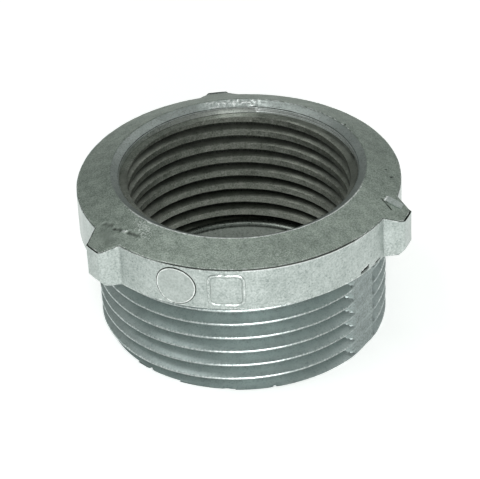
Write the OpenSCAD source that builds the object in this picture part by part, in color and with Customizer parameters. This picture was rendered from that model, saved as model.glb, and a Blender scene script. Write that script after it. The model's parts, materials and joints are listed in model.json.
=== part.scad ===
// Concentric reducer: a cast bushing that screws into a 1 1/4 in pipe port and
// leaves a 1 in port in its place.  It is one casting, and each module below
// is one region of it.  The regions meet face to face and don't overlap.
// The origin is the centre of the male thread's end face, +Z runs along the
// bore and out of the mouth, and azimuths count from -Y towards +X.

/* [Thread] */
// Pitch of both threads, 11 turns to the inch
pitch = 2.309; // [1.9:0.001:2.8]
// Width of the flat at the bottom of a groove
root_w = 0.22; // [0.15:0.01:0.4]

/* [Male thread] */
// Diameter over the male crests
male_d = 41.1; // [34:0.1:52]
// Length from the end face to the underside of the collar
male_h = 15.3; // [12:0.1:24]
// Depth of the male grooves
male_depth = 1.48; // [1:0.01:1.8]
// Width of the flat land on a male crest
male_land_w = 0.42; // [0.2:0.01:0.6]
// Height of the lowest whole male crest at azimuth 0
male_crest_z = 2.05; // [1:0.01:3]
// Bevel on the lower edge of the male thread
nose_bevel = 0.9; // [0.4:0.05:1.4]

/* [Female thread] */
// Wall left between the male grooves and the female grooves
wall_t = 2.43; // [2.2:0.01:4]
// Depth of the female grooves
female_depth = 1.02; // [0.8:0.01:1.3]
// Width of the flat land on a female crest, which is blunt
female_land_w = 0.8; // [0.3:0.05:1]
// Height of the lowest whole female groove at azimuth 0
female_groove_z = 5.55; // [4:0.01:7]

/* [Throat] */
// Radial step from the female crests in to the smooth throat
throat_step = 0.82; // [0.4:0.02:2]
// Height of the throat's ledge above the end face
throat_h = 4; // [2:0.1:6]
// Radius on the throat's upper edge
throat_round = 0.8; // [0.3:0.05:1.2]

/* [Collar] */
// Radial step from the male crests out to the collar's wall
collar_step = 2.15; // [1:0.05:4]
// Height of the collar's wall
collar_h = 6.4; // [5:0.1:12]
// Bevel on the collar's lower edge
collar_bevel = 0.3; // [0.1:0.05:0.6]
// Height of the conical crown above the collar's wall
crown_h = 2.1; // [1.75:0.05:3]

/* [Mouth] */
// Radial step from the female grooves out to the mouth's wall
mouth_step = 0.11; // [0.05:0.01:0.3]
// Height of the mouth's wall
mouth_wall_h = 1; // [0.5:0.1:1.2]
// Height of the bevel between the mouth's wall and the rim
mouth_bevel_h = 0.7; // [0.3:0.05:0.9]
// Radial width of that bevel
mouth_bevel_w = 1.1; // [0.6:0.05:1.5]

/* [Lugs] */
// Azimuth of the left lug, the others stand a third of a turn apart
lug_turn = -54; // [-58:1:-48]
// Reach of a lug beyond the collar's wall
lug_reach = 2.4; // [1.5:0.1:4]
// Width of a lug where it leaves the collar
lug_root_w = 5.6; // [4:0.1:8]
// Width of a lug's outer face
lug_face_w = 2.4; // [1.6:0.1:4]
// Bevel on a lug's lower outer edge
lug_bevel = 0.8; // [0.5:0.1:1.5]

/* [Parting strips] */
// Azimuth of the front strip, the back one lies opposite
strip_turn = 55.5; // [50:0.5:60]
// Angle that a smooth strip takes out of the male thread
strip_sweep = 15; // [10:1:20]
// Depth of a strip's flat below the crests
strip_depth = 0.4; // [0.2:0.05:0.6]

/* [Marks] */
// Diameter of the round die mark on the collar's wall
disc_d = 5.8; // [4:0.1:6]
// Azimuth of the round die mark
disc_turn = -23.6; // [-30:0.1:-22]
// Side of the square blank pad on the collar's wall
pad_w = 5.2; // [4:0.1:6]
// Azimuth of the square blank pad
pad_turn = -5.9; // [-7:0.1:4]
// Corner radius of the square blank pad
pad_corner = 1.1; // [0.5:0.1:2]
// Height that both marks stand out of the wall
mark_rise = 0.15; // [0.08:0.01:0.3]
// Length of the trimmed gate on the crown, along the radius
gate_l = 2.2; // [1.5:0.1:3]
// Width of the trimmed gate
gate_w = 1.2; // [0.8:0.1:2]
// Azimuth of the trimmed gate
gate_turn = 69; // [67:0.5:71]

/* [Hidden] */
$fn = 96;

// Segments in one turn of a groove, and how far the shapes that cut run past
// the faces that they cut.
TURN_STEPS = 48;
CUT_PLAY = 0.1;
PAST = 1;

// The threaded sleeves carry on this far behind the bottoms of their grooves.
sleeve_back = 0.6;

// Inside the collar the barrel thickens to this far past the male crests, so
// that the whole of the collar's underside is open for the port's rim.
CORE_STEP = 0.3;

LUG_COUNT = 3;

male_r = male_d / 2;
male_root_r = male_r - male_depth;
female_root_r = male_root_r - wall_t;
female_r = female_root_r - female_depth;
throat_r = female_r - throat_step;
barrel_out_r = male_root_r - sleeve_back;
barrel_in_r = female_root_r + sleeve_back;
core_r = male_r + CORE_STEP;
collar_r = male_r + collar_step;
mouth_r = female_root_r + mouth_step;
rim_r = mouth_r + mouth_bevel_w;

edge_z = male_h + collar_h;
rim_z = edge_z + crown_h;
bevel_z = rim_z - mouth_bevel_h;
mouth_z = bevel_z - mouth_wall_h;
mark_z = male_h + collar_h / 2;

// Height of the crown's cone at radius r, which the lugs' tops follow too.
function cone_z(r) = edge_z + crown_h * (collar_r - r) / (collar_r - rim_r);

// A point at radius r, azimuth a and height z.
function around(r, a, z) = [r * sin(a), -r * cos(a), z];

// One cross-section of a groove with its middle at azimuth a and height z:
// four points, from the narrow root to just past the crests.
function groove_section(crest_r, root_r, land_w, a, z) =
    let (
        out = sign(crest_r - root_r),
        slope = (pitch - land_w - root_w) / 2 / abs(crest_r - root_r),
        narrow = root_w / 2,
        wide = (pitch - land_w) / 2 + CUT_PLAY * slope,
        open_r = crest_r + out * CUT_PLAY
    )
    [around(root_r, a, z - out * narrow),
     around(root_r, a, z + out * narrow),
     around(open_r, a, z + out * wide),
     around(open_r, a, z - out * wide)];

// A right-hand groove that passes azimuth 0 at height z0, and runs from a
// turn or two below z_low to a turn or two above z_high.
module helical_groove(crest_r, root_r, land_w, z0, z_low, z_high) {
    first = -ceil((z0 - z_low) / pitch + 1);
    last = ceil((z_high - z0) / pitch + 1);
    steps = (last - first) * TURN_STEPS;
    points = [for (i = [0 : steps])
        let (turn = first + i / TURN_STEPS)
        each groove_section(crest_r, root_r, land_w,
                            360 * turn, z0 + pitch * turn)];
    sides = [for (i = [0 : steps - 1], j = [0 : 3])
        let (k = (j + 1) % 4, here = 4 * i, next = 4 * (i + 1))
        each [[here + j, next + j, next + k], [here + j, next + k, here + k]]];
    end = 4 * steps;
    caps = [[0, 1, 2], [0, 2, 3],
            [end + 2, end + 1, end], [end + 3, end + 2, end]];
    polyhedron(points = points, faces = concat(sides, caps));
}

// A plain tube from height z_low to z_high.
module tube(r_out, r_in, z_low, z_high) {
    translate([0, 0, z_low])
        difference() {
            cylinder(h = z_high - z_low, r = r_out);
            translate([0, 0, -PAST])
                cylinder(h = z_high - z_low + 2 * PAST, r = r_in);
        }
}

// The wedge of one parting strip, from the axis to past the crests.
module strip_wedge(turn) {
    reach = collar_r + PAST;
    ends = [for (a = [-1, 1]) around(reach, turn + a * strip_sweep / 2, 0)];
    translate([0, 0, -PAST])
        linear_extrude(height = male_h + 2 * PAST)
            polygon([[0, 0], [ends[0].x, ends[0].y], [ends[1].x, ends[1].y]]);
}

// What a parting strip's flat planes off, and what the nose's bevel does.
module strip_plane(turn) {
    rotate([0, 0, turn])
        translate([-male_r, -male_r - PAST, -PAST])
            cube([male_d, PAST + strip_depth, male_h + 2 * PAST]);
}

module nose_cut() {
    rotate_extrude()
        polygon([[male_r - nose_bevel - PAST, -PAST],
                 [male_r + PAST, -PAST],
                 [male_r + PAST, nose_bevel + PAST]]);
}

// Both strips, cut away from the threaded sleeve.
module both_strips() {
    for (turn = [strip_turn, strip_turn + 180]) {
        strip_wedge(turn);
        strip_plane(turn);
    }
}

module barrel() {
    color("#6d7472")
    rotate_extrude()
        polygon([[barrel_in_r, 0],
                 [barrel_out_r, 0],
                 [barrel_out_r, male_h],
                 [core_r, male_h],
                 [core_r, edge_z],
                 [barrel_in_r, edge_z]]);
}

module male_thread() {
    color("#59605f")
    difference() {
        tube(male_r, barrel_out_r, 0, male_h);
        helical_groove(male_r, male_root_r, male_land_w,
                       male_crest_z + pitch / 2, 0, male_h);
        both_strips();
        nose_cut();
    }
}

module strip(turn) {
    color("#8b938f")
    difference() {
        intersection() {
            tube(male_r, barrel_out_r, 0, male_h);
            strip_wedge(turn);
        }
        strip_plane(turn);
        nose_cut();
    }
}

module collar() {
    color("#9aa19d")
    rotate_extrude()
        polygon([[core_r, male_h],
                 [collar_r - collar_bevel, male_h],
                 [collar_r, male_h + collar_bevel],
                 [collar_r, edge_z],
                 [core_r, edge_z]]);
}

// A lug tapers from the collar's wall to its own outer face, and its top
// carries the crown's cone on.
module lug(place) {
    face_r = collar_r + lug_reach;
    taper = (lug_root_w - lug_face_w) / 2 / lug_reach;
    narrow = lug_face_w / 2 - taper * PAST;
    wide = lug_root_w / 2 + taper * PAST;
    color("#a3aaa6")
    intersection() {
        rotate_extrude()
            polygon([[collar_r, male_h + collar_bevel],
                     [collar_r, edge_z],
                     [face_r, cone_z(face_r)],
                     [face_r, male_h + collar_bevel + lug_bevel],
                     [face_r - lug_bevel, male_h + collar_bevel]]);
        rotate([0, 0, lug_turn + place * 360 / LUG_COUNT])
            linear_extrude(height = rim_z)
                polygon([[-wide, -collar_r + PAST],
                         [wide, -collar_r + PAST],
                         [narrow, -face_r - PAST],
                         [-narrow, -face_r - PAST]]);
    }
}

module crown() {
    color("#7b837f")
    rotate_extrude()
        polygon([[barrel_in_r, edge_z],
                 [collar_r, edge_z],
                 [rim_r, rim_z],
                 [rim_r, mouth_z],
                 [barrel_in_r, mouth_z]]);
}

module mouth_ring() {
    color("#6f7673")
    rotate_extrude()
        polygon([[mouth_r, mouth_z],
                 [rim_r, mouth_z],
                 [rim_r, rim_z],
                 [mouth_r, bevel_z]]);
}

module female_thread() {
    color("#3f4443")
    difference() {
        tube(barrel_in_r, female_r, throat_h, mouth_z);
        helical_groove(female_r, female_root_r, female_land_w,
                       female_groove_z, throat_h, mouth_z);
    }
}

module throat() {
    color("#4d5351")
    difference() {
        tube(barrel_in_r, throat_r, 0, throat_h);
        rotate_extrude()
            difference() {
                translate([throat_r - PAST, throat_h - throat_round])
                    square([PAST + throat_round, throat_round + PAST]);
                translate([throat_r + throat_round, throat_h - throat_round])
                    circle(r = throat_round);
            }
    }
}

// A mark stands out of the collar's wall where its outline meets the wall.
module mark(turn) {
    intersection() {
        tube(collar_r + mark_rise, collar_r, male_h, edge_z);
        rotate([0, 0, turn])
            translate([0, 0, mark_z])
                rotate([90, 0, 0])
                    linear_extrude(height = collar_r + lug_reach)
                        children();
    }
}

module die_disc() {
    color("#b4bab7")
    mark(disc_turn)
        circle(d = disc_d);
}

module blank_pad() {
    inner_w = pad_w - 2 * pad_corner;
    color("#adb3b0")
    mark(pad_turn)
        union() {
            square([pad_w, inner_w], center = true);
            square([inner_w, pad_w], center = true);
            for (x = [-1, 1], y = [-1, 1])
                translate([x * inner_w / 2, y * inner_w / 2])
                    circle(r = pad_corner);
        }
}

// The gate lies across the collar's edge, half on the crown and half on the
// right lug.
module gate_vestige() {
    low_r = collar_r - gate_l / 2;
    high_r = collar_r + gate_l / 2;
    color("#aeb2a8")
    intersection() {
        rotate_extrude()
            polygon([[low_r, cone_z(low_r)],
                     [high_r, cone_z(high_r)],
                     [high_r, cone_z(high_r) + mark_rise],
                     [low_r, cone_z(low_r) + mark_rise]]);
        rotate([0, 0, gate_turn])
            translate([-gate_w / 2, -high_r - PAST, 0])
                cube([gate_w, gate_l + 2 * PAST, rim_z + PAST]);
    }
}

barrel();
male_thread();
strip(strip_turn);  // strip_front
strip(strip_turn + 180);  // strip_back
collar();
lug(0);  // lug_left
lug(1);  // lug_right
lug(2);  // lug_back
crown();
mouth_ring();
female_thread();
throat();
die_disc();
blank_pad();
gate_vestige();
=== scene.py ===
# %% [markdown]
# # A cast zinc pipe reducer
# This part screws into a 1 1/4 in pipe port and leaves a 1 in port in its place. It is a single die
# casting: liquid zinc alloy is shot into a steel die, the die opens, and what falls out still shows
# where the metal squeezed between the die's halves. The frame holds its regions as separate solids,
# and each cell below gives one region its true surface, then its finish.

# %% Load the frame
import json
import math

import bmesh
import bpy
from mathutils import Matrix, Vector, noise


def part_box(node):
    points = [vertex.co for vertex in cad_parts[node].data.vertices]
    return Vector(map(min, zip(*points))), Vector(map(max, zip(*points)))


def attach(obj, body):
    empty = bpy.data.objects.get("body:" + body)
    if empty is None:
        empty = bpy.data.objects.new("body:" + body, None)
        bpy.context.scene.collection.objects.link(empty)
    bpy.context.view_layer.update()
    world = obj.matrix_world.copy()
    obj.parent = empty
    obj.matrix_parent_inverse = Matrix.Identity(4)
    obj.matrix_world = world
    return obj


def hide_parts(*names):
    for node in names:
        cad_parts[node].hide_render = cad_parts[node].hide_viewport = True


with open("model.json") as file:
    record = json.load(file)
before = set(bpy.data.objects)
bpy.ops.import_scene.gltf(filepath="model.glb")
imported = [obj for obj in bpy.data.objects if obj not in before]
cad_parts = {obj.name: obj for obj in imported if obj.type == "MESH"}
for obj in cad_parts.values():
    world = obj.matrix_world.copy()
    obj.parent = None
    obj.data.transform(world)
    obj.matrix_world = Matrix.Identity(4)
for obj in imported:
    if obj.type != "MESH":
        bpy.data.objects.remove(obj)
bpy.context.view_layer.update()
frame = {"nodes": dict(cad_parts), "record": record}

MM = 0.001
print("nodes:", ", ".join(sorted(frame["nodes"])))

# %% [markdown]
# ## Sizes
# The driving sizes come from the frame: the threads' radii from its mounts, and heights and radii
# from the boxes of its nodes. What a box can't tell is written here: the pitch, the depth of the
# male grooves, the wall behind each thread's grooves, and the small steps at the mouth.

# %% Read the sizes
mounts = {mount["name"]: mount for mount in frame["record"]["mounts"]}


def mount_radius(name):
    return mounts[name]["dims"]["r_mm"] * MM


def reach(node):
    """The outer radius of a round node."""
    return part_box(node)[1].x


def low(node):
    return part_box(node)[0].z


def high(node):
    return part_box(node)[1].z


PITCH = 2.309 * MM
MALE_DEPTH = 1.48 * MM
SLEEVE_WALL = 0.6 * MM
MOUTH_STEP = 0.11 * MM
MOUTH_BEVEL_H = 0.7 * MM
male_r = mount_radius("male_thread")
female_r = mount_radius("female_thread")
throat_r = mount_radius("throat_bore")
sleeve_out_r = reach("female_thread")
core_r = reach("barrel")
collar_r = reach("collar")
rim_r = reach("mouth_ring")
shoulder_z = low("collar")
edge_z = high("collar")
rim_z = high("crown")
mouth_z = low("mouth_ring")
throat_z = high("throat")
male_root_r = male_r - MALE_DEPTH
sleeve_in_r = male_root_r - SLEEVE_WALL
female_root_r = sleeve_out_r - SLEEVE_WALL
mouth_r = female_root_r + MOUTH_STEP
bevel_z = rim_z - MOUTH_BEVEL_H
print(f"male {male_r:.5f} female {female_r:.5f} collar {collar_r:.5f} height {rim_z:.5f}")


def cone_z(radius):
    """Height of the crown's cone, which the tops of the lugs carry on."""
    return edge_z + (rim_z - edge_z) * (collar_r - radius) / (collar_r - rim_r)


# %% [markdown]
# ## Camera and light
# The part stands on a pale sheet under soft light from the sides. A metal shows what is around it:
# its upright walls mirror the pale sheet, and its top mirrors the dim ceiling, so the top looks
# darker than the walls although both are the same alloy.

# %% Camera
PITCH_DOWN = math.radians(34.31)
ROLL = math.radians(-2.56)
camera_place = Vector((-0.009, -12.915, 8.354)) * collar_r + Vector((0, 0, edge_z))
camera_data = bpy.data.cameras.new("camera")
camera_data.sensor_width = 36
camera_data.lens = 187.5
camera_data.clip_start = 0.02
camera = bpy.data.objects.new("camera", camera_data)
bpy.context.scene.collection.objects.link(camera)
tilt = Matrix.Rotation(math.pi / 2 - PITCH_DOWN, 4, "X") @ Matrix.Rotation(ROLL, 4, "Z")
camera.matrix_world = Matrix.Translation(camera_place) @ tilt
bpy.context.scene.camera = camera
print("camera stands", round(camera_place.length, 3), "m from the part")


# %% Node helper
def add(tree, kind, links=None, out=0, **settings):
    """Adds a node, sets it up, feeds its sockets and returns one of its outputs."""
    made = tree.nodes.new(kind)
    for name, value in settings.items():
        setattr(made, name, value)
    for key, value in (links or {}).items():
        if isinstance(value, bpy.types.NodeSocket):
            tree.links.new(value, made.inputs[key])
        else:
            made.inputs[key].default_value = value
    return made.outputs[out] if made.outputs else made


def srgb(code):
    """A hex colour as the linear values that sockets take."""
    parts = [int(code[i:i + 2], 16) / 255 for i in (1, 3, 5)]
    curve = [c / 12.92 if c <= 0.04045 else ((c + 0.055) / 1.055) ** 2.4 for c in parts]
    return (*curve, 1.0)


# %% Light
view = bpy.context.scene.view_settings
view.view_transform = "Standard"

world = bpy.data.worlds.new("studio")
world.use_nodes = True
bpy.context.scene.world = world
backdrop = world.node_tree.nodes["Background"]
backdrop.inputs["Color"].default_value = srgb("#dde2df")
backdrop.inputs["Strength"].default_value = 0.46


def softbox(name, azimuth, elevation, distance, size, watts):
    """A square soft light that faces the part from an azimuth and a height."""
    data = bpy.data.lights.new(name, "AREA")
    data.size = size
    data.energy = watts
    lamp = bpy.data.objects.new(name, data)
    bpy.context.scene.collection.objects.link(lamp)
    a, e = math.radians(azimuth), math.radians(elevation)
    aim = Vector((0, 0, rim_z / 2))
    away = Vector((math.sin(a) * math.cos(e), -math.cos(a) * math.cos(e), math.sin(e)))
    lamp.location = aim + away * distance
    lamp.rotation_euler = away.to_track_quat("Z", "Y").to_euler()


softbox("low_front", 4, 10, 0.75, 0.35, 4.8)
softbox("window_left", -84, 63, 0.9, 0.4, 1.4)
softbox("window_right", 120, 50, 0.9, 0.6, 0.9)
softbox("overhead", 20, 86, 0.9, 0.2, 0.3)
print("lights:", len(bpy.data.lights))


# %% [markdown]
# ## Noise and outlines
# Two helpers serve every turned piece. Perlin noise gives the slow waviness of cast skin, and always
# gives the same value at the same place. The outline gives the casting's outer radius at an azimuth,
# with the three lugs on it.

# %% Shape helpers
def around(radius, azimuth, z):
    """A point at a radius and an azimuth in degrees, counted from -Y towards +X."""
    a = math.radians(azimuth)
    return Vector((radius * math.sin(a), -radius * math.cos(a), z))


def wave(point, size, seed=0.0):
    """Smooth noise from -1 to 1 whose lumps are about one size across."""
    return noise.noise(point / size + Vector((seed, 2 * seed, 3 * seed)))


def angle_gap(a, b):
    """Signed angle from azimuth b to azimuth a, between -180 and 180."""
    return (a - b + 180) % 360 - 180


def smooth(x, x0, x1):
    """0 below x0, 1 above x1, and an S-curve between."""
    t = min(max((x - x0) / (x1 - x0), 0.0), 1.0)
    return t * t * (3 - 2 * t)


def soft_floor(x, radius):
    """x where it is well above 0, and 0 well below, with a round bend of a radius between."""
    if x < -radius:
        return 0.0
    if x > radius:
        return x
    return (x + radius) ** 2 / (4 * radius)


LUG_TURNS = {"lug_left": -54.0, "lug_right": 66.0, "lug_back": 186.0}
LUG_REACH = 2.4 * MM
LUG_ROOT = 2.85 * MM
LUG_FACE = 1.2 * MM
LUG_HALF_SWEEP = 10.0


def outline(azimuth):
    """Radius of the collar's outer edge, with the lugs, at an azimuth."""
    gap = min((abs(angle_gap(azimuth, turn)) for turn in LUG_TURNS.values()))
    across = collar_r * math.radians(gap)
    rise = (LUG_ROOT - across) / (LUG_ROOT - LUG_FACE)
    rise = soft_floor(rise, 0.09)
    rise = 1 - soft_floor(1 - rise, 0.06)
    return collar_r + LUG_REACH * max(rise, 0.0)


print("outline runs from", round(outline(0), 5), "to", round(outline(66), 5))


# %% [markdown]
# ## A turned piece
# A lathe turns one cross-section round an axis. This helper does the same, but lets the section
# change with the azimuth, so one function makes a plain ring, a ring with dents, or a lug. Each
# section is a closed loop of radius and height, and neighbours are joined by four-sided faces. A
# piece that stops part way round gets a flat cap at each end, so it always holds water.

# %% Loft helper
def loft(name, columns, closed=True, bend=28.0):
    """Makes a closed shell from (azimuth, [(radius, z, rub and painted light), ...]) columns."""
    count = len(columns[0][1])
    points = [around(point[0], azimuth, point[1])
              for azimuth, section in columns for point in section]
    wear_and_painted_light = [point[2] for azimuth, section in columns for point in section]
    faces = []
    last = len(columns) if closed else len(columns) - 1
    for i in range(last):
        here, there = i * count, (i + 1) % len(columns) * count
        for j in range(count):
            k = (j + 1) % count
            faces.append((here + j, there + j, there + k, here + k))
    if not closed:
        faces.append(tuple(range(count)))
        faces.append(tuple(reversed(range(last * count, last * count + count))))
    return finish_mesh(name, points, faces, wear_and_painted_light, bend)


def finish_mesh(name, points, faces, wear_and_painted_light, bend):
    """Turns points and faces into an object with welded seams and outward faces."""
    mesh = bpy.data.meshes.new(name)
    mesh.from_pydata(points, [], faces)
    # The attribute carries rub, painted highlight and painted shade to the material.
    layer = mesh.attributes.new("wear_and_painted_light", "FLOAT", "POINT")
    layer.data.foreach_set("value", wear_and_painted_light)
    made = bpy.data.objects.new(name, mesh)
    bpy.context.scene.collection.objects.link(made)
    tidy_shell(made, bend)
    return made


def tidy_shell(made, bend):
    """Welds doubled points, points the faces outwards and shades all but sharp edges smooth."""
    shell = bmesh.new()
    shell.from_mesh(made.data)
    bmesh.ops.remove_doubles(shell, verts=shell.verts, dist=0.0005 * MM)
    bmesh.ops.dissolve_degenerate(shell, edges=shell.edges, dist=0.0002 * MM)
    bmesh.ops.recalc_face_normals(shell, faces=shell.faces)
    open_edges = sum(1 for edge in shell.edges if not edge.is_manifold)
    shell.to_mesh(made.data)
    shell.free()
    made.data.polygons.foreach_set("use_smooth", [True] * len(made.data.polygons))
    made.data.set_sharp_from_angle(angle=math.radians(bend))
    print(made.name, len(made.data.polygons), "faces,", open_edges, "open edges")


def spread(first, last, steps):
    """Evenly spaced values from first to last, both included."""
    return [first + (last - first) * i / steps for i in range(steps + 1)]


# %% [markdown]
# ## Zinc
# The metal is taken to be zinc die-casting alloy, by its colour and its cast skin. The side skins
# are bright and even, as a smooth die leaves them. The top is grainier, as from a worn die, and is
# given a darker colour than the sides: painted shade, since the top mirrors the dim ceiling.
# Crests, beads and edges are made lighter, partly as rubbed metal and partly as painted highlight,
# and grooves, gaps and hollows are made darker as painted shade. The meshes carry that as one
# attribute: 1 is rubbed bright or highlit, 0 is plain skin and -1 is full painted shade.

# %% Zinc materials
# Painted light: the first colour is rubbed metal and painted highlight on crests and edges, the second
# is painted shade in grooves, gaps and hollows.
RUB_AND_HIGHLIGHT = srgb("#e6eae8")
PAINTED_SHADE = srgb("#20241f")


def zinc(name, light, dark, roughness, blotch, grain, grain_depth, pit_depth=0.0):
    """Cast zinc: blotches of two greys, a fine grain in the bump, and uneven gloss."""
    material = bpy.data.materials.new(name)
    material.use_nodes = True
    tree = material.node_tree
    tree.nodes.clear()
    place = add(tree, "ShaderNodeTexCoord", out="Object")
    patches = add(tree, "ShaderNodeTexNoise",
                  {"Vector": place, "Scale": 1 / blotch, "Detail": 5.0, "Roughness": 0.6})
    specks = add(tree, "ShaderNodeTexNoise",
                 {"Vector": place, "Scale": 1 / grain, "Detail": 3.0, "Roughness": 0.7})
    soft = add(tree, "ShaderNodeMath", {0: patches, 1: 0.6}, operation="MULTIPLY")
    both = add(tree, "ShaderNodeMath", {0: specks, 1: 1.4, 2: soft}, operation="MULTIPLY_ADD")
    shade = add(tree, "ShaderNodeMapRange",
                {"Value": both, "From Min": 0.70, "From Max": 1.30})
    colour = add(tree, "ShaderNodeMix", {"Factor": shade, 6: srgb(dark), 7: srgb(light)},
                 out=2, data_type="RGBA")
    gloss = add(tree, "ShaderNodeMapRange",
                {"Value": specks, "From Min": 0.3, "From Max": 0.7,
                 "To Min": roughness - 0.07, "To Max": roughness + 0.09})

    # Rubbed metal with painted highlight, and painted shade, both end in a ragged edge, which the
    # grain gives them.
    wear_and_painted_light = add(tree, "ShaderNodeAttribute", out="Fac", attribute_name="wear_and_painted_light")
    ragged = add(tree, "ShaderNodeMapRange",
                 {"Value": specks, "From Min": 0.3, "From Max": 0.7,
                  "To Min": -0.35, "To Max": 0.35})
    high = add(tree, "ShaderNodeMath", {0: wear_and_painted_light, 1: ragged}, operation="ADD")
    rub_and_highlight = add(tree, "ShaderNodeMapRange", {"Value": high, "From Min": 0.35, "From Max": 0.95})
    toward_shade = add(tree, "ShaderNodeMath", {0: wear_and_painted_light, 1: -1.0, 2: ragged}, operation="MULTIPLY_ADD")
    painted_shade_share = add(tree, "ShaderNodeMapRange", {"Value": toward_shade, "From Min": 0.2, "From Max": 1.2})
    brighter = add(tree, "ShaderNodeMix", {"Factor": rub_and_highlight, 6: colour, 7: RUB_AND_HIGHLIGHT},
                   out=2, data_type="RGBA")
    final = add(tree, "ShaderNodeMix", {"Factor": painted_shade_share, 6: brighter, 7: PAINTED_SHADE},
                out=2, data_type="RGBA")
    smoother = add(tree, "ShaderNodeMix", {"Factor": rub_and_highlight, 2: gloss, 3: 0.3})
    duller = add(tree, "ShaderNodeMix", {"Factor": painted_shade_share, 2: smoother, 3: 0.65})

    lumps = add(tree, "ShaderNodeBump",
                {"Height": patches, "Distance": grain_depth * 3.0, "Strength": 0.6})
    skin = add(tree, "ShaderNodeBump",
               {"Height": specks, "Distance": grain_depth, "Strength": 1.0, "Normal": lumps})
    if pit_depth:
        cells = add(tree, "ShaderNodeTexVoronoi", {"Vector": place, "Scale": 0.6 / grain})
        hollow = add(tree, "ShaderNodeMapRange",
                     {"Value": cells, "From Min": 0.0, "From Max": 0.45})
        skin = add(tree, "ShaderNodeBump",
                   {"Height": hollow, "Distance": pit_depth, "Strength": 0.6, "Normal": skin})
    metal = add(tree, "ShaderNodeBsdfPrincipled",
                {"Base Color": final, "Roughness": duller, "Metallic": 0.9, "Normal": skin})
    add(tree, "ShaderNodeOutputMaterial", {"Surface": metal})
    return material


# Zinc as a smooth die leaves it: even, light and softly glossy. Walls, lugs, mouth and pad.
wall_zinc = zinc("zinc_die_polished", "#c3cac7", "#8a9490", 0.34,
                 2.6 * MM, 0.28 * MM, 0.012 * MM)
# The crown's zinc: pitted and dull as from a worn die, and darker, which is painted shade, for the
# top mirrors the dim ceiling.
top_zinc_painted_shade = zinc("zinc_top_painted_shade", "#b0bab1", "#68736b", 0.5,
                1.6 * MM, 0.20 * MM, 0.028 * MM, 0.02 * MM)
# The male thread's skin: even, a little greener and duller than the walls.
thread_zinc = zinc("zinc_thread_skin", "#b6c1bf", "#8d9897", 0.42,
                   1.8 * MM, 0.30 * MM, 0.012 * MM)
# The bore's skin: a grey that varies more, made darker as painted shade inside the bore, so the
# grooves read as deep.
bore_zinc_painted_shade = zinc("zinc_bore_painted_shade", "#9b9f96", "#565b53", 0.42,
                 1.4 * MM, 0.26 * MM, 0.018 * MM)
# The throat's skin: smoother than the bore's, so that its ledge can catch a light.
throat_zinc = zinc("zinc_throat_skin", "#8f958f", "#6c736d", 0.3,
                   2.0 * MM, 0.40 * MM, 0.006 * MM)
# Zinc against a die insert: the least blotchy skin, so the disc stands out from the wall.
fresh_zinc = zinc("zinc_fresh_cut", "#bdc4c1", "#99a19d", 0.36,
                  1.5 * MM, 0.30 * MM, 0.008 * MM)
print("materials:", len(bpy.data.materials))


# %% [markdown]
# ## Threads
# A thread is one rule: the radius depends only on how far a point lies along the pitch, and that
# phase slides up with the azimuth. Geometry Nodes fit such a rule. A flat grid is rolled into a tube
# whose rows climb one pitch a turn, so each crest and each root runs along a row of edges and stays
# crisp. The first and last rows are pressed flat against the sleeve's end planes.

# %% Thread tree
ROWS_PER_PITCH = 16
COLUMNS = 360
STRIP_FLAT_END = math.radians(7.0)
STRIP_RISE_END = math.radians(11.5)
DULL_START = math.radians(8.0)
DULL_END = math.radians(12.0)


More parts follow.
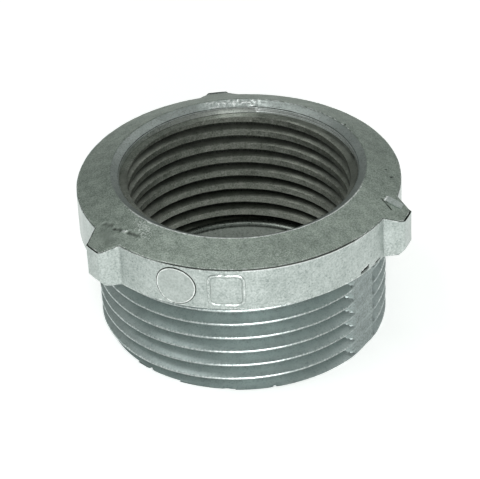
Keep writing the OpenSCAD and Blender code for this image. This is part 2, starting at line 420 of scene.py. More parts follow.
def thread_tree():
    """Builds the tree that rolls a grid into a threaded skin."""
    tree = bpy.data.node_groups.new("threaded_skin", "GeometryNodeTree")
    tree.interface.new_socket("Geometry", in_out="OUTPUT", socket_type="NodeSocketGeometry")
    for label, kind, value in (
            ("Crest radius", "NodeSocketFloat", 0.02), ("Root radius", "NodeSocketFloat", 0.019),
            ("Pitch", "NodeSocketFloat", 0.002), ("Crest height at front", "NodeSocketFloat", 0.0),
            ("Bottom", "NodeSocketFloat", 0.0), ("Top", "NodeSocketFloat", 0.015),
            ("Turns", "NodeSocketInt", 9), ("Land share", "NodeSocketFloat", 0.0625),
            ("Root share", "NodeSocketFloat", 0.0625), ("Crest rub and highlight", "NodeSocketFloat", 1.0),
            ("Flank painted shade", "NodeSocketFloat", -0.3), ("Root painted shade", "NodeSocketFloat", -0.8),
            ("Waviness", "NodeSocketFloat", 0.00003),
            ("Chip depth", "NodeSocketFloat", 0.0), ("Nose bevel", "NodeSocketFloat", 0.0),
            ("Taper", "NodeSocketFloat", 0.0),
            ("Strip flat", "NodeSocketFloat", 1.0), ("Strip azimuth", "NodeSocketFloat", 0.0),
            ("Finish", "NodeSocketMaterial", None)):
        socket = tree.interface.new_socket(label, in_out="INPUT", socket_type=kind)
        if value is not None:
            socket.default_value = value
    given = tree.nodes.new("NodeGroupInput").outputs

    rows = add(tree, "ShaderNodeMath", {0: given["Turns"], 1: ROWS_PER_PITCH, 2: 1.0},
               operation="MULTIPLY_ADD")
    grid = add(tree, "GeometryNodeMeshGrid",
               {"Size X": 1.0, "Size Y": 1.0, "Vertices X": COLUMNS + 1, "Vertices Y": rows})
    spot = add(tree, "GeometryNodeInputPosition")
    x = add(tree, "ShaderNodeSeparateXYZ", {0: spot}, out="X")
    y = add(tree, "ShaderNodeSeparateXYZ", {0: spot}, out="Y")
    turn = add(tree, "ShaderNodeMath", {0: x, 1: 0.5}, operation="ADD")
    climb = add(tree, "ShaderNodeMath", {0: y, 1: 0.5}, operation="ADD")
    pitches = add(tree, "ShaderNodeMath", {0: climb, 1: given["Turns"]}, operation="MULTIPLY")

    # The phase is 0 on a crest and one half at a root.
    shifted = add(tree, "ShaderNodeMath", {0: pitches, 1: 0.5}, operation="ADD")
    part = add(tree, "ShaderNodeMath", {0: shifted}, operation="FRACT")
    centred = add(tree, "ShaderNodeMath", {0: part, 1: 0.5}, operation="SUBTRACT")
    phase = add(tree, "ShaderNodeMath", {0: centred}, operation="ABSOLUTE")
    land_end = given["Land share"]
    root_start = add(tree, "ShaderNodeMath", {0: 0.5, 1: given["Root share"]},
                     operation="SUBTRACT")
    depth = add(tree, "ShaderNodeMapRange",
                {"Value": phase, "From Min": land_end, "From Max": root_start})
    radius = add(tree, "ShaderNodeMapRange",
                 {"Value": depth, "To Min": given["Crest radius"], "To Max": given["Root radius"]})

    # Crests are made light, partly as rubbed metal and partly as painted highlight, and the grooves
    # are made darker towards their roots as painted shade.
    off_crest = add(tree, "ShaderNodeMapRange",
                    {"Value": depth, "From Max": 0.15, "To Min": given["Crest rub and highlight"],
                     "To Max": given["Flank painted shade"]})
    to_root = add(tree, "ShaderNodeMapRange",
                  {"Value": depth, "From Min": 0.4, "To Min": given["Flank painted shade"],
                   "To Max": given["Root painted shade"]})
    past_flank = add(tree, "ShaderNodeMath", {0: depth, 1: 0.4}, operation="GREATER_THAN")
    rub_and_light = add(tree, "ShaderNodeMix", {"Factor": past_flank, 2: off_crest, 3: to_root})

    # The rows start two pitches under the bottom and climb one pitch a turn.
    lowest = add(tree, "ShaderNodeMath",
                 {0: given["Pitch"], 1: -2.0, 2: given["Crest height at front"]},
                 operation="MULTIPLY_ADD")
    up = add(tree, "ShaderNodeMath", {0: pitches, 1: turn}, operation="ADD")
    height = add(tree, "ShaderNodeMath", {0: up, 1: given["Pitch"], 2: lowest},
                 operation="MULTIPLY_ADD")

    angle = add(tree, "ShaderNodeMath", {0: turn, 1: math.tau}, operation="MULTIPLY")
    east = add(tree, "ShaderNodeMath", {0: angle}, operation="SINE")
    back = add(tree, "ShaderNodeMath", {0: angle}, operation="COSINE")
    south = add(tree, "ShaderNodeMath", {0: back, 1: -1.0}, operation="MULTIPLY")

    # Chips in the lower edge, read on a circle so that they close up at the seam.
    ring_x = add(tree, "ShaderNodeMath", {0: east, 1: 9.0}, operation="MULTIPLY")
    ring_y = add(tree, "ShaderNodeMath", {0: south, 1: 9.0}, operation="MULTIPLY")
    ring = add(tree, "ShaderNodeCombineXYZ", {"X": ring_x, "Y": ring_y, "Z": 0.0})
    chips = add(tree, "ShaderNodeTexNoise", {"Vector": ring, "Scale": 1.0, "Detail": 4.0})
    bites = add(tree, "ShaderNodeMapRange",
                {"Value": chips, "From Min": 0.55, "From Max": 0.8, "To Min": 0.0, "To Max": 1.0})
    floor = add(tree, "ShaderNodeMath",
                {0: bites, 1: given["Chip depth"], 2: given["Bottom"]}, operation="MULTIPLY_ADD")
    above = add(tree, "ShaderNodeMath", {0: height, 1: floor}, operation="MAXIMUM")
    kept = add(tree, "ShaderNodeMath", {0: above, 1: given["Top"]}, operation="MINIMUM")

    # Slow waves in the radius, as in any casting.
    flat_x = add(tree, "ShaderNodeMath", {0: east, 1: radius}, operation="MULTIPLY")
    flat_y = add(tree, "ShaderNodeMath", {0: south, 1: radius}, operation="MULTIPLY")
    ideal = add(tree, "ShaderNodeCombineXYZ", {"X": flat_x, "Y": flat_y, "Z": height})
    ripple = add(tree, "ShaderNodeTexNoise",
                 {"Vector": ideal, "Scale": 1 / (1.6 * MM), "Detail": 3.0})
    swing = add(tree, "ShaderNodeMapRange",
                {"Value": ripple, "From Min": 0.2, "From Max": 0.8, "To Min": -1.0, "To Max": 1.0})
    waved = add(tree, "ShaderNodeMath", {0: swing, 1: given["Waviness"], 2: radius},
                operation="MULTIPLY_ADD")

    # The thread narrows towards its end, as a pipe thread does, and full size is at the top.
    below_top = add(tree, "ShaderNodeMath", {0: given["Top"], 1: kept}, operation="SUBTRACT")
    narrowed = add(tree, "ShaderNodeMath", {0: below_top, 1: given["Taper"]},
                   operation="MULTIPLY")
    wavy = add(tree, "ShaderNodeMath", {0: waved, 1: narrowed}, operation="SUBTRACT")

    # The nose's bevel caps the radius near the bottom.
    nose = add(tree, "ShaderNodeMath", {0: kept, 1: given["Nose bevel"]}, operation="SUBTRACT")
    cap = add(tree, "ShaderNodeMath", {0: nose, 1: given["Crest radius"]}, operation="ADD")
    nosed = add(tree, "ShaderNodeMath", {0: wavy, 1: cap}, operation="MINIMUM")

    # A parting strip is a flat plane on each side. Crests are planed down to it, and the
    # grooves rise to it over a few degrees.
    across = add(tree, "ShaderNodeMath", {0: angle, 1: given["Strip azimuth"]},
                 operation="SUBTRACT")
    side = add(tree, "ShaderNodeMath", {0: across, 1: math.pi}, operation="PINGPONG")
    folded = add(tree, "ShaderNodeMath", {0: side, 1: math.pi / 2}, operation="PINGPONG")
    share = add(tree, "ShaderNodeMath", {0: folded}, operation="COSINE")
    plane = add(tree, "ShaderNodeMath", {0: given["Strip flat"], 1: share}, operation="DIVIDE")
    planed = add(tree, "ShaderNodeMath", {0: nosed, 1: plane}, operation="MINIMUM")
    sink = add(tree, "ShaderNodeMapRange",
               {"Value": folded, "From Min": STRIP_FLAT_END, "From Max": STRIP_RISE_END,
                "To Min": 0.0, "To Max": 2.0 * MM})
    fill = add(tree, "ShaderNodeMath", {0: plane, 1: sink}, operation="SUBTRACT")
    by_strip = add(tree, "ShaderNodeMath", {0: folded, 1: STRIP_RISE_END},
                   operation="LESS_THAN")
    ramp = add(tree, "ShaderNodeMath", {0: fill, 1: by_strip}, operation="MULTIPLY")
    on_strip = add(tree, "ShaderNodeMath", {0: given["Strip flat"], 1: 0.5},
                   operation="LESS_THAN")
    filled = add(tree, "ShaderNodeMath", {0: planed, 1: ramp}, operation="MAXIMUM")
    nosed_fill = add(tree, "ShaderNodeMath", {0: filled, 1: cap}, operation="MINIMUM")
    final = add(tree, "ShaderNodeMix", {"Factor": on_strip, 2: wavy, 3: nosed_fill})

    # No crest stands on a strip, so the crests' light fades out there and the strip is made darker.
    # Strip flat doesn't switch this off, so a thread without strips is darkened too, on both sides,
    # around its Strip azimuth.
    strip_crest_fade = add(tree, "ShaderNodeMapRange",
                     {"Value": folded, "From Min": DULL_START, "From Max": DULL_END,
                      "To Min": 0.12, "To Max": 1.0})
    strip_darkening = add(tree, "ShaderNodeMapRange",
                     {"Value": folded, "From Min": DULL_START, "From Max": DULL_END,
                      "To Min": -0.5, "To Max": 0.0})
    rub_and_light_here = add(tree, "ShaderNodeMath", {0: rub_and_light, 1: strip_crest_fade, 2: strip_darkening},
                   operation="MULTIPLY_ADD")

    end_x = add(tree, "ShaderNodeMath", {0: east, 1: final}, operation="MULTIPLY")
    end_y = add(tree, "ShaderNodeMath", {0: south, 1: final}, operation="MULTIPLY")
    target = add(tree, "ShaderNodeCombineXYZ", {"X": end_x, "Y": end_y, "Z": kept})

    below = add(tree, "FunctionNodeCompare", {0: height, 1: floor}, operation="LESS_THAN",
                data_type="FLOAT")
    over = add(tree, "FunctionNodeCompare", {0: height, 1: given["Top"]},
               operation="GREATER_THAN", data_type="FLOAT")
    low_mark = add(tree, "GeometryNodeStoreNamedAttribute",
                   {"Geometry": grid, "Name": "below", 3: below},
                   data_type="FLOAT", domain="POINT")
    high_mark = add(tree, "GeometryNodeStoreNamedAttribute",
                    {"Geometry": low_mark, "Name": "over", 3: over},
                    data_type="FLOAT", domain="POINT")
    deep_mark = add(tree, "GeometryNodeStoreNamedAttribute",
                    {"Geometry": high_mark, "Name": "wear_and_painted_light", 3: rub_and_light_here},
                    data_type="FLOAT", domain="POINT")
    rolled = add(tree, "GeometryNodeSetPosition", {"Geometry": deep_mark, "Position": target})
    low_face = add(tree, "GeometryNodeInputNamedAttribute", {"Name": "below"},
                   data_type="FLOAT")
    high_face = add(tree, "GeometryNodeInputNamedAttribute", {"Name": "over"},
                    data_type="FLOAT")
    all_low = add(tree, "FunctionNodeCompare", {0: low_face, 1: 0.999},
                  operation="GREATER_THAN", data_type="FLOAT")
    all_high = add(tree, "FunctionNodeCompare", {0: high_face, 1: 0.999},
                   operation="GREATER_THAN", data_type="FLOAT")
    spare = add(tree, "FunctionNodeBooleanMath", {0: all_low, 1: all_high}, operation="OR")
    trimmed = add(tree, "GeometryNodeDeleteGeometry", {"Geometry": rolled, "Selection": spare},
                  domain="FACE")
    welded = add(tree, "GeometryNodeMergeByDistance",
                 {"Geometry": trimmed, "Distance": 0.0005 * MM})
    real = add(tree, "GeometryNodeRealizeInstances", {0: welded})
    dressed = add(tree, "GeometryNodeSetMaterial",
                  {"Geometry": real, "Material": given["Finish"]})
    add(tree, "NodeGroupOutput", {0: dressed})
    return tree


thread_rule = thread_tree()
print("thread tree:", len(thread_rule.nodes), "nodes")


# %% Run the tree
def grow(name, tree, values):
    """Runs a tree with its named inputs set, and returns the result as a plain mesh."""
    carrier = bpy.data.objects.new(name + "_rule", bpy.data.meshes.new(name + "_rule"))
    bpy.context.scene.collection.objects.link(carrier)
    modifier = carrier.modifiers.new("rule", "NODES")
    modifier.node_group = tree
    keys = {item.name: item.identifier for item in tree.interface.items_tree
            if item.item_type == "SOCKET" and item.in_out == "INPUT"}
    for label, value in values.items():
        modifier[keys[label]] = value
    bpy.context.view_layer.update()
    graph = bpy.context.evaluated_depsgraph_get()
    mesh = bpy.data.meshes.new_from_object(carrier.evaluated_get(graph))
    mesh.name = name
    old = carrier.data
    bpy.data.objects.remove(carrier)
    bpy.data.meshes.remove(old)
    return mesh


STRIP_TURN = 55.5
STRIP_HALF = 7.5
MALE_CREST_Z = 2.05 * MM
FEMALE_CREST_Z = 4.4 * MM

# The crest, flank and root values paint light and shade into the threads: crests light as rub and
# painted highlight, flanks and roots dark as painted shade.
male_skin = grow("male_skin", thread_rule, {
    "Crest radius": male_r, "Root radius": male_root_r, "Pitch": PITCH,
    "Crest height at front": MALE_CREST_Z, "Bottom": 0.0, "Top": shoulder_z, "Turns": 10,
    "Land share": 0.7 / ROWS_PER_PITCH, "Root share": 1 / ROWS_PER_PITCH,
    "Crest rub and highlight": 0.62, "Flank painted shade": -0.12, "Root painted shade": -0.45,
    "Waviness": 0.02 * MM, "Chip depth": 0.35 * MM, "Taper": 0.01,
    "Nose bevel": 0.3 * MM, "Strip flat": male_r - 0.4 * MM,
    "Strip azimuth": math.radians(STRIP_TURN), "Finish": thread_zinc})
female_skin = grow("female_skin", thread_rule, {
    "Crest radius": female_r, "Root radius": female_root_r, "Pitch": PITCH,
    "Crest height at front": FEMALE_CREST_Z, "Bottom": throat_z, "Top": mouth_z, "Turns": 12,
    "Land share": 3 / ROWS_PER_PITCH, "Root share": 1 / ROWS_PER_PITCH,
    "Crest rub and highlight": 0.1, "Flank painted shade": -0.25, "Root painted shade": -1.0,
    "Waviness": 0.05 * MM, "Strip flat": 1.0, "Strip azimuth": math.pi / 2,
    "Finish": bore_zinc_painted_shade})
print("skins:", len(male_skin.polygons), len(female_skin.polygons), "faces")


# %% [markdown]
# ## From skin to sleeve
# The tree gives an open skin. A real sleeve has a back and two ends, so each edge of the skin is
# carried straight in to the sleeve's plain side. The skin's columns stand on whole degrees, which
# also lets the parting strips come off as their own pieces, cut along a column.

# %% Sleeve helper
def sleeve(name, skin, back_r, first=None, last=None):
    """Closes the part of a threaded skin between two azimuths, or all of it, into a shell."""
    spots = [vertex.co.copy() for vertex in skin.vertices]
    wear_and_painted_light = [value.value for value in skin.attributes["wear_and_painted_light"].data]
    column = [round(math.degrees(math.atan2(p.x, -p.y))) % 360 for p in spots]
    faces = []
    for polygon in skin.polygons:
        around_deg = [column[i] for i in polygon.vertices]
        middle = around_deg[0] + sum(angle_gap(a, around_deg[0]) for a in around_deg) / len(around_deg)
        if first is None or 0 < (middle - first) % 360 < last - first:
            faces.append(tuple(polygon.vertices))
    uses = {}
    for face in faces:
        for i, a in enumerate(face):
            b = face[(i + 1) % len(face)]
            uses[(a, b)] = uses.get((a, b), 0) + 1
    rim = [pair for pair in uses if (pair[1], pair[0]) not in uses]
    middle_z = sum(p.z for p in spots) / len(spots)
    points = list(spots)
    backs = {}

    def back_of(i):
        """The point on the sleeve's plain side that belongs to a rim point."""
        top = spots[i].z > middle_z
        key = (column[i], top)
        if key not in backs:
            backs[key] = len(points)
            points.append(around(back_r, column[i], end_z[top]))
            wear_and_painted_light.append(0.0)
        return backs[key]

    end_z = {True: max(p.z for p in spots), False: min(p.z for p in spots)}
    ends = {}
    for a, b in rim:
        upright = column[a] == column[b] and abs(spots[a].z - spots[b].z) > 1e-9 \
            and first is not None and column[a] in (round(first) % 360, round(last) % 360)
        if upright:
            ends.setdefault(column[a], []).append((a, b))
            continue
        back_a, back_b = back_of(a), back_of(b)
        if back_a == back_b:
            faces.append((b, a, back_a))
        else:
            faces.append((b, a, back_a, back_b))
    for chain in ends.values():
        path = ordered(chain)
        faces.append(tuple(reversed(path)) + (back_of(path[0]), back_of(path[-1])))
    around_list = sorted({key[0] for key in backs}, key=lambda c: (c - (first or 0)) % 360)
    steps = len(around_list) if first is None else len(around_list) - 1
    for i in range(steps):
        here, there = around_list[i], around_list[(i + 1) % len(around_list)]
        faces.append((backs[(here, False)], backs[(there, False)],
                      backs[(there, True)], backs[(here, True)]))
    return finish_mesh(name, points, faces, wear_and_painted_light, 24.0)


def ordered(pairs):
    """Strings a list of joined pairs into one path."""
    following = dict(pairs)
    start = (set(following) - set(following.values())).pop()
    path = [start]
    while path[-1] in following:
        path.append(following[path[-1]])
    return path


strip_edges = [STRIP_TURN - STRIP_HALF, STRIP_TURN + STRIP_HALF,
               STRIP_TURN + 180 - STRIP_HALF, STRIP_TURN + 180 + STRIP_HALF]
print("strip edges at", strip_edges)


# %% [markdown]
# ## The two threads as pieces
# The male thread comes in two halves, because the parting strips run its whole height and stand
# between them. The female thread has no strips and stays one sleeve. One helper gives each piece its
# finish, its body and the frame's nodes that it stands for.

# %% Male thread
def dress(piece, material, slot, *nodes):
    """Gives a piece its finish, its body and the nodes that it stands for."""
    piece.data.materials.clear()
    piece.data.materials.append(material)
    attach(piece, "root")
    if nodes:
        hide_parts(*nodes)


front_strip = sleeve("parting_strip_front", male_skin, sleeve_in_r, strip_edges[0], strip_edges[1])
back_strip = sleeve("parting_strip_back", male_skin, sleeve_in_r, strip_edges[2], strip_edges[3])
near_half = sleeve("male_thread_near_half", male_skin, sleeve_in_r,
                   strip_edges[3] - 360, strip_edges[0])
far_half = sleeve("male_thread_far_half", male_skin, sleeve_in_r, strip_edges[1], strip_edges[2])
dress(front_strip, thread_zinc, "cast_thread", "strip_front")
dress(back_strip, thread_zinc, "cast_thread", "strip_back")
dress(near_half, thread_zinc, "cast_thread", "male_thread")
dress(far_half, thread_zinc, "cast_thread", "male_thread")

# %% Female thread
female_sleeve = sleeve("female_thread_sleeve", female_skin, sleeve_out_r)
dress(female_sleeve, bore_zinc_painted_shade, "cast_bore", "female_thread")


# %% [markdown]
# ## Collar and lugs
# The collar's wall, its edge bead and the lugs come from one section rule. The crown's metal stops a
# hair short of the edge all round the front: that is the parting line, seen as a fine dark gap
# between two bright beads. The gap's dark is partly painted shade, and the beads' brightness is
# painted highlight. Each lug is its own piece, cut out of the ring along two columns, and
# starts a little inside the collar's wall so that the cut doesn't show. Scratches and dents are short
# lines that sink the surface near them, which is simpler than cutting shapes out of a finished mesh.

# %% Marks in a surface
def near_line(point, start, end):
    """Distance of a point from the stretch between two others."""
    along = end - start
    t = max(0.0, min(1.0, (point - start).dot(along) / along.length_squared))
    return (point - start - along * t).length


def marks_at(point, marks):
    """Depth, and painted light and shade, that a list of scratches and dents gives to a point."""
    depth, wear_and_painted_light = 0.0, 0.0
    for start, end, half_width, mark_depth, mark_tone_and_light in marks:
        gap = near_line(point, start, end)
        if gap < 2.5 * half_width:
            gap += half_width * 0.8 * wave(point, 0.35 * MM, 21.0)
            share = 1 - smooth(gap, 0.2 * half_width, 1.7 * half_width)
            depth += mark_depth * share
            wear_and_painted_light += mark_tone_and_light * share
    return depth, wear_and_painted_light


# %% Section of the wall
CAP = 0.18 * MM
LUG_BACK_R = collar_r - 1.2 * MM
SEAT = 0.05 * MM
LUG_BEVEL_W = 0.75 * MM
LUG_BEVEL_H = 0.9 * MM
BEAD = 0.1 * MM
LOW_EDGE = 0.28 * MM
STEP = 0.25
ALL_ROUND = spread(-180, 180 - STEP, int(360 / STEP) - 1)

# Each mark's last value paints light: gouges are made dark inside as painted shade, and the raised
# ridge is made light as painted highlight.
WALL_MARKS = [
    (around(collar_r, 45.6, shoulder_z + 0.5 * MM), around(collar_r, 49.0, shoulder_z + 0.8 * MM),
     0.2 * MM, 0.25 * MM, -1.6),
    (around(collar_r, 45.2, shoulder_z + 0.9 * MM), around(collar_r, 49.0, shoulder_z + 1.25 * MM),
     0.1 * MM, -0.05 * MM, 1.2),
    (around(collar_r, 51.0, shoulder_z + 0.1 * MM), around(collar_r, 56.0, shoulder_z + 0.5 * MM),
     0.15 * MM, 0.15 * MM, -1.4),
]


def wall_section(azimuth, back_r):
    """The collar's or a lug's section at an azimuth, as a closed loop."""
    edge_r = outline(azimuth)
    top = cone_z(edge_r)
    front = smooth(azimuth, -34, -24) * (1 - smooth(azimuth, 42, 52)) if azimuth < 180 else 0.0
    section = [(back_r, shoulder_z, -0.5)]
    heights = [0.0, 0.04, 0.1, 0.18, 0.28] + spread(0.45, 5.5, 24)
    for h in heights:
        z = shoulder_z + h * MM
        bend = LOW_EDGE - min(h * MM, LOW_EDGE)
        corner = LOW_EDGE - math.sqrt(LOW_EDGE ** 2 - bend ** 2)
        limit = collar_r + LUG_REACH - LUG_BEVEL_W * (1 - min(h * MM / LUG_BEVEL_H, 1.0))
        r = min(edge_r, limit) - corner
        spot = around(r, azimuth, z)
        depth, wear_and_painted_light = marks_at(spot, WALL_MARKS)
        wobble = wave(spot, 2.5 * MM, 3.0) * 0.03 * MM
        # The lower edge is made light along its round, as painted highlight.
        low_edge_highlight = 0.75 * (1 - smooth(h, 0.2, 0.5)) * (0.6 + 0.6 * wave(spot, 0.9 * MM, 4.0))
        section.append((r + wobble - depth, z, wear_and_painted_light + low_edge_highlight))
    wobble = wave(around(edge_r, azimuth, top), 2.5 * MM, 3.0) * 0.03 * MM
    jag = wave(around(edge_r, azimuth, top), 0.5 * MM, 9.0) * 0.025 * MM
    # The bead is made light, most along the front, as painted highlight, and the faces inside and down
    # in the gap are made dark as painted shade.
    rub_and_light = 0.6 + 0.6 * front + 0.3 * wave(around(edge_r, azimuth, top), 1.2 * MM, 11.0)
    section += [(edge_r + wobble, top - 2.2 * BEAD, 0.1),
                (edge_r + wobble - 0.1 * BEAD, top - 0.8 * BEAD + jag, rub_and_light),
                (edge_r + wobble - 0.7 * BEAD, top - 0.1 * BEAD + jag, rub_and_light),
                (edge_r + wobble - 1.3 * BEAD, top - 0.5 * BEAD + jag, 0.0),
                (edge_r + wobble - 1.6 * BEAD, top - CAP - SEAT, -1.5),
                (back_r, cone_z(back_r) - CAP - SEAT, -1.5)]
    return section


def lug_of(azimuth):
    return any(abs(angle_gap(azimuth, turn)) < LUG_HALF_SWEEP for turn in LUG_TURNS.values())


def cut_back(section):
    """A wall section kept behind the plane where a lug's own piece starts."""
    top = cone_z(LUG_BACK_R) - CAP - SEAT
    return [(r, z, w) if r <= LUG_BACK_R else (LUG_BACK_R, min(z, top), w) for r, z, w in section]


collar_columns = []
for azimuth in spread(0, 360 - STEP, int(360 / STEP) - 1):
    ring = wall_section(azimuth, core_r)
    on_edge = any(abs(abs(angle_gap(azimuth, turn)) - LUG_HALF_SWEEP) < 0.01
                  for turn in LUG_TURNS.values())
    if on_edge and lug_of(azimuth + STEP):
        collar_columns += [(azimuth, ring), (azimuth, cut_back(ring))]
    elif on_edge:
        collar_columns += [(azimuth, cut_back(ring)), (azimuth, ring)]
    else:
        collar_columns.append((azimuth, cut_back(ring) if lug_of(azimuth) else ring))
collar = loft("collar_wall", collar_columns)
dress(collar, wall_zinc, "cast_wall", "collar")

for node, turn in LUG_TURNS.items():
    columns = [(a, wall_section(a, LUG_BACK_R))
               for a in spread(turn - LUG_HALF_SWEEP, turn + LUG_HALF_SWEEP, 100)]
    lug = loft(node + "_cast", columns, closed=False)
    dress(lug, wall_zinc, "cast_wall", node)


# %% [markdown]
# ## Crown
# The crown is the cone between the collar's edge and the rim. It was cast against the worn end of
# the die, so it is grainy, with dents, a burr along the rim and a ragged outer lip. It reaches out
# over the lugs, whose tops are the same cone.

# %% Crown
def crown_spot(azimuth, radius):
    """A point on the crown's cone, its radius in millimetres."""
    return around(radius * MM, azimuth, cone_z(radius * MM))


# The last value of each mark paints light: sunk dents and scratches are made dark as painted shade,
# raised ones light as painted highlight, and marks with no depth make broad patches lighter or darker.
CROWN_MARKS = [
    (crown_spot(-54.5, 21.0), crown_spot(-51.5, 20.8), 0.24 * MM, 0.1 * MM, -0.8),
    (crown_spot(-48.0, 20.45), crown_spot(-43.7, 20.2), 0.27 * MM, 0.12 * MM, -0.95),
    (crown_spot(-50.2, 20.75), crown_spot(-49.0, 20.5), 0.24 * MM, -0.06 * MM, 0.9),
    (crown_spot(-46.0, 18.6), crown_spot(-42.0, 19.6), 1.3 * MM, 0.0, 0.42),
    (crown_spot(-56.0, 22.3), crown_spot(-52.0, 22.8), 1.1 * MM, 0.0, -0.35),
    (crown_spot(-60.0, 21.4), crown_spot(-57.0, 21.0), 0.3 * MM, 0.1 * MM, -0.5),
    (crown_spot(121.5, 17.95), crown_spot(123.0, 18.5), 0.15 * MM, 0.15 * MM, -1.5),
    (crown_spot(67.8, 21.0), crown_spot(65.1, 22.7), 0.09 * MM, 0.08 * MM, -1.5),
    (crown_spot(70.6, 21.5), crown_spot(67.9, 21.45), 0.12 * MM, -0.03 * MM, 1.4),
    (crown_spot(84.0, 21.5), crown_spot(83.3, 21.2), 0.14 * MM, 0.1 * MM, -1.3),
    (crown_spot(87.5, 20.6), crown_spot(87.2, 20.5), 0.12 * MM, 0.1 * MM, -1.3),
    (crown_spot(10.0, 21.0), crown_spot(20.0, 21.6), 0.7 * MM, 0.0, 0.25),
]


def crown_gap(azimuth):
    """Width of the dark gap between the crown's lip and the collar's bead."""
    front = smooth(azimuth, -32, -24) * (1 - smooth(azimuth, 38, 46)) if azimuth < 180 else 0.0
    gap = min(abs(angle_gap(azimuth, turn)) for turn in LUG_TURNS.values())
    by_lug = 1 - smooth(gap, 6, 8)
    ragged = 0.06 * by_lug * wave(around(collar_r, azimuth, edge_z), 0.7 * MM, 13.0)
    return (0.14 + 0.14 * max(front, by_lug) + ragged) * MM


def rim_burr_highlight(azimuth):
    """How bright the rim's burr is made: a painted highlight along the front, and bright flecks at the
    back right.
    """
    front = 1 - smooth(abs(angle_gap(azimuth, 5)), 50, 80)
    back = 1 - smooth(abs(angle_gap(azimuth, 140)), 22, 34)
    fleck = wave(around(rim_r, azimuth, rim_z), 0.45 * MM, 15.0)
    return front * (0.95 + 0.5 * fleck) + back * (0.5 + 1.6 * fleck)


crown_columns = []
for azimuth in ALL_ROUND:
    out_r = outline(azimuth) - crown_gap(azimuth)
    rub_and_light = rim_burr_highlight(azimuth)
    burr = (0.02 + 0.03 * wave(around(rim_r, azimuth, rim_z), 0.8 * MM, 5.0)) * MM
    # The burr on the rim is made light as painted highlight, and the face under the rim dark as
    # painted shade.
    section = [(rim_r, mouth_z, -1.0),
               (rim_r, rim_z - 0.1 * MM, 0.0),
               (rim_r + 0.01 * MM, rim_z - 0.06 * MM + burr, rub_and_light),
               (rim_r + 0.15 * MM, rim_z - 0.08 * MM + burr, rub_and_light)]
    for t in spread(0.045, 0.97, 34):
        r = rim_r + (out_r - rim_r) * t
        spot = around(r, azimuth, cone_z(r))
        depth, wear_and_painted_light = marks_at(spot, CROWN_MARKS)
        rise = wave(spot, 3.0 * MM, 1.0) * 0.05 + wave(spot, 0.7 * MM, 2.0) * 0.02
        section.append((r, cone_z(r) - 0.02 * MM + rise * MM - depth, wear_and_painted_light))
    lip = wave(around(out_r, azimuth, edge_z), 0.6 * MM, 7.0)
    lip_highlight = 0.55 + 0.5 * lip
    # The outer lip is made light as painted highlight, and the faces down in the gap and inside are
    # made dark as painted shade.
    section += [(out_r - 0.05 * MM, cone_z(out_r) + 0.015 * MM * lip, lip_highlight),
                (out_r, cone_z(out_r) - 0.05 * MM, lip_highlight - 0.3),
                (out_r, cone_z(out_r) - CAP - 0.1 * MM, -1.5),
                (collar_r - 1.0 * MM, cone_z(collar_r) - CAP - 0.1 * MM, -1.5),
                (sleeve_out_r, edge_z - 0.05 * MM, -1.0),
                (sleeve_out_r, mouth_z, -1.0)]
    crown_columns.append((azimuth, section))
crown = loft("crown_cast", crown_columns)
dress(crown, top_zinc_painted_shade, "cast_top", "crown")


# %% [markdown]
# ## Mouth ring
# The lead-in guides a pipe into the female thread: a bevel under the rim, then a short plain wall. On
# one side the bevel is torn, and the wall has fine rings round it, so both vary with the azimuth.

# %% Mouth ring
mouth_columns = []
for azimuth in ALL_ROUND:
    jag = wave(around(mouth_r, azimuth, bevel_z), 1.2 * MM, 4.0) * 0.03 * MM
    torn = 1 - smooth(abs(angle_gap(azimuth, 181)), 10, 20)
    streaky = smooth(azimuth, 35, 60) * (1 - smooth(azimuth, 165, 178))
    # Painted light: the wall is made lighter round azimuth 150, where the light from the upper left
    # falls.
    mouth_wall_painted_light = 0.3 + 0.6 * (1 - smooth(abs(angle_gap(azimuth, 150)), 55, 95))
    # The bevel and the line at its top are made darker as painted shade, except where the bevel is
    # torn.
    section = [(rim_r, mouth_z, 0.0),
               (rim_r, rim_z - 0.07 * MM, -0.5),
               (rim_r - 0.03 * MM, rim_z - 0.09 * MM, -0.5)]
    for t in spread(0.06, 0.93, 11):
        r = rim_r + (mouth_r - rim_r) * t
        z = rim_z - 0.05 * MM + (bevel_z - rim_z + 0.05 * MM) * t
        spot = around(r, azimuth, z)
        rough = wave(spot, 0.5 * MM, 8.0)
        z += (wave(spot, 1.2 * MM, 6.0) * 0.03 + torn * rough * 0.09) * MM
        section.append((r, z, -0.5 + torn * (0.9 + 0.9 * rough)))
    # The groove between bevel and wall is made dark as painted shade.
    section += [(mouth_r + 0.06 * MM, bevel_z - 0.05 * MM + jag, -1.2),
                (mouth_r + 0.02 * MM, bevel_z - 0.07 * MM + jag, -0.9)]
    for t in spread(0.12, 0.95, 13):
        z = bevel_z + (mouth_z - bevel_z) * t
        # Along the streaks, the fine rings are made lighter and darker in turn: painted light and
        # shade.
        comb = math.sin(t * math.tau * 3.5 + 0.5)
        r = mouth_r - 0.03 * MM + streaky * 0.03 * MM * comb
        section.append((r, z, mouth_wall_painted_light + streaky * 0.45 * comb))
    section.append((mouth_r, mouth_z, -0.6))
    mouth_columns.append((azimuth, section))
mouth = loft("mouth_lead_in", mouth_columns)
dress(mouth, wall_zinc, "cast_top", "mouth_ring")


# %% [markdown]
# ## Throat
# A smooth bore with a round ledge at its top, where the female thread ends. It is the same all the
# way round, so the loft gets the same section in every column.

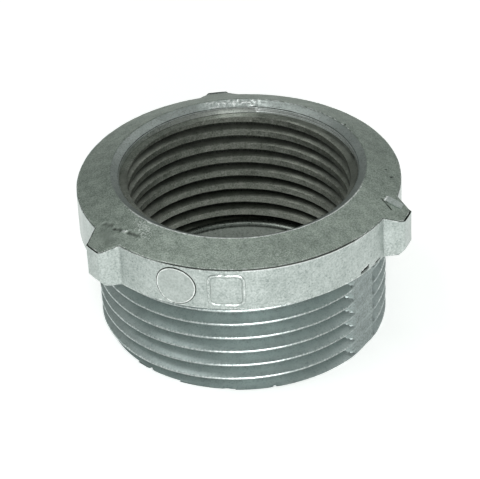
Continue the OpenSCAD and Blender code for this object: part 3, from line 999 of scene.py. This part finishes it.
# %% Throat
ROUND = 0.8 * MM
throat_columns = []
for azimuth in spread(-180, 178, 179):
    section = [(sleeve_out_r, 0.0, 0.0), (throat_r + 0.1 * MM, 0.0, 0.0), (throat_r, 0.1 * MM, 0.0)]
    for t in spread(0, 90, 10):
        a = math.radians(t)
        section.append((throat_r + ROUND * (1 - math.cos(a)),
                        throat_z - ROUND * (1 - math.sin(a)), 0.1))
    # The ledge's top is made a little darker towards the thread, as painted shade.
    section.append((sleeve_out_r, throat_z, -0.3))
    throat_columns.append((azimuth, section))
throat = loft("throat_ledge", throat_columns)
dress(throat, throat_zinc, "cast_bore", "throat")


# %% [markdown]
# ## Marks on the wall
# A round die insert left a flat disc with a burr squeezed up round it. Beside it sits a blank pad with
# a raised border. Both are flat rings of points laid on the wall, so one helper makes both from an
# outline and a list of rings, each with an inset from the outline, a height and a wear.

# %% Disc and pad
MARK_STEPS = 120


def wall_mark(name, node, border, rings):
    """Lays closed rings of points on the wall around the middle of a node's box."""
    lo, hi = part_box(node)
    middle = (lo + hi) / 2
    turn = math.degrees(math.atan2(middle.x, -middle.y))
    points, wear_and_painted_light, faces = [], [], []
    for i in range(MARK_STEPS):
        phi = math.tau * i / MARK_STEPS
        reach_here = border(phi)
        for inset, height, rub_and_light in rings:
            rho = max(reach_here - inset, 0.0)
            x, y = rho * math.cos(phi), rho * math.sin(phi)
            azimuth = turn + math.degrees(x / collar_r)
            spot = around(collar_r, azimuth, middle.z + y)
            ragged = wave(spot, 0.6 * MM, 17.0) if rho else 0.0
            rise = height * (1 + 0.4 * ragged) if height > 0 else height
            points.append(around(collar_r + min(rise, 0.145 * MM), azimuth, middle.z + y))
            wear_and_painted_light.append(rub_and_light + 0.5 * ragged * abs(rub_and_light))
    count = len(rings)
    for i in range(MARK_STEPS):
        here, there = i * count, (i + 1) % MARK_STEPS * count
        for j in range(count):
            k = (j + 1) % count
            faces.append((here + j, there + j, there + k, here + k))
    return finish_mesh(name, points, faces, wear_and_painted_light, 40.0)


def round_border(phi):
    lo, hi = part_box("die_disc")
    return (hi.z - lo.z) / 2 * (1 + 0.012 * math.sin(3 * phi + 1))


def square_border(phi):
    lo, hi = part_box("blank_pad")
    half = (hi.z - lo.z) / 2
    c, s = abs(math.cos(phi)), abs(math.sin(phi))
    return half / (c ** 5 + s ** 5) ** 0.2


SUNK = -0.04 * MM
ALL_IN = 9.0 * MM
# The disc's rings paint its outline: dark lines at its foot as painted shade, and a light ring on its
# burr as painted highlight.
disc = wall_mark("die_insert_disc", "die_disc", round_border, [
    (-0.02 * MM, SUNK, -1.0), (-0.02 * MM, 0.02 * MM, -1.6), (0.08 * MM, 0.06 * MM, -1.4),
    (0.13 * MM, 0.12 * MM, 0.9), (0.22 * MM, 0.12 * MM, 0.9), (0.32 * MM, 0.09 * MM, 0.0),
    (1.2 * MM, 0.09 * MM, 0.0), (2.2 * MM, 0.09 * MM, 0.0), (ALL_IN, 0.09 * MM, 0.0),
    (ALL_IN, SUNK, 0.0)])
dress(disc, fresh_zinc, "fresh_metal", "die_disc")
# The pad's rings paint its border: a light top as painted highlight, and dark lines at its foot and
# inside it as painted shade.
pad = wall_mark("blank_raised_pad", "blank_pad", square_border, [
    (-0.01 * MM, SUNK, -0.6), (-0.01 * MM, 0.02 * MM, -0.8), (0.10 * MM, 0.10 * MM, 0.5),
    (0.24 * MM, 0.13 * MM, 0.5), (0.38 * MM, 0.10 * MM, 0.0), (0.50 * MM, 0.03 * MM, -0.7),
    (0.62 * MM, 0.05 * MM, -0.1), (1.4 * MM, 0.06 * MM, 0.0), (2.2 * MM, 0.06 * MM, 0.0),
    (ALL_IN, 0.06 * MM, 0.0), (ALL_IN, SUNK, 0.0)])
dress(pad, wall_zinc, "fresh_metal", "blank_pad")


# %% [markdown]
# ## Pieces that keep the frame's own shape
# The barrel is hidden between the two threads, and the trimmed gate is a small flat patch. The
# frame's solids are good enough for both, so they only get a finish.

# %% Pieces that keep the frame's own shape
for node, finish in (("barrel", thread_zinc), ("gate_vestige", wall_zinc)):
    frame["nodes"][node].data.materials.clear()
    frame["nodes"][node].data.materials.append(finish)


# %% [markdown]
# ## Floor
# The pale sheet under the part. It glows a little, as a sheet lit from all round would, and the
# metal's upright walls mirror it.

# %% Floor
floor_mesh = bpy.data.meshes.new("floor")
floor_mesh.from_pydata([(-3, -3, 0), (3, -3, 0), (3, 3, 0), (-3, 3, 0)], [], [(0, 1, 2, 3)])
floor = bpy.data.objects.new("floor", floor_mesh)
bpy.context.scene.collection.objects.link(floor)
paper = bpy.data.materials.new("white_paper")
paper.use_nodes = True
PAPER = {"Base Color": srgb("#f7f8f7"), "Roughness": 0.9,
         "Emission Color": srgb("#fbfcfb"), "Emission Strength": 0.47}
for socket, value in PAPER.items():
    paper.node_tree.nodes["Principled BSDF"].inputs[socket].default_value = value
floor.data.materials.append(paper)
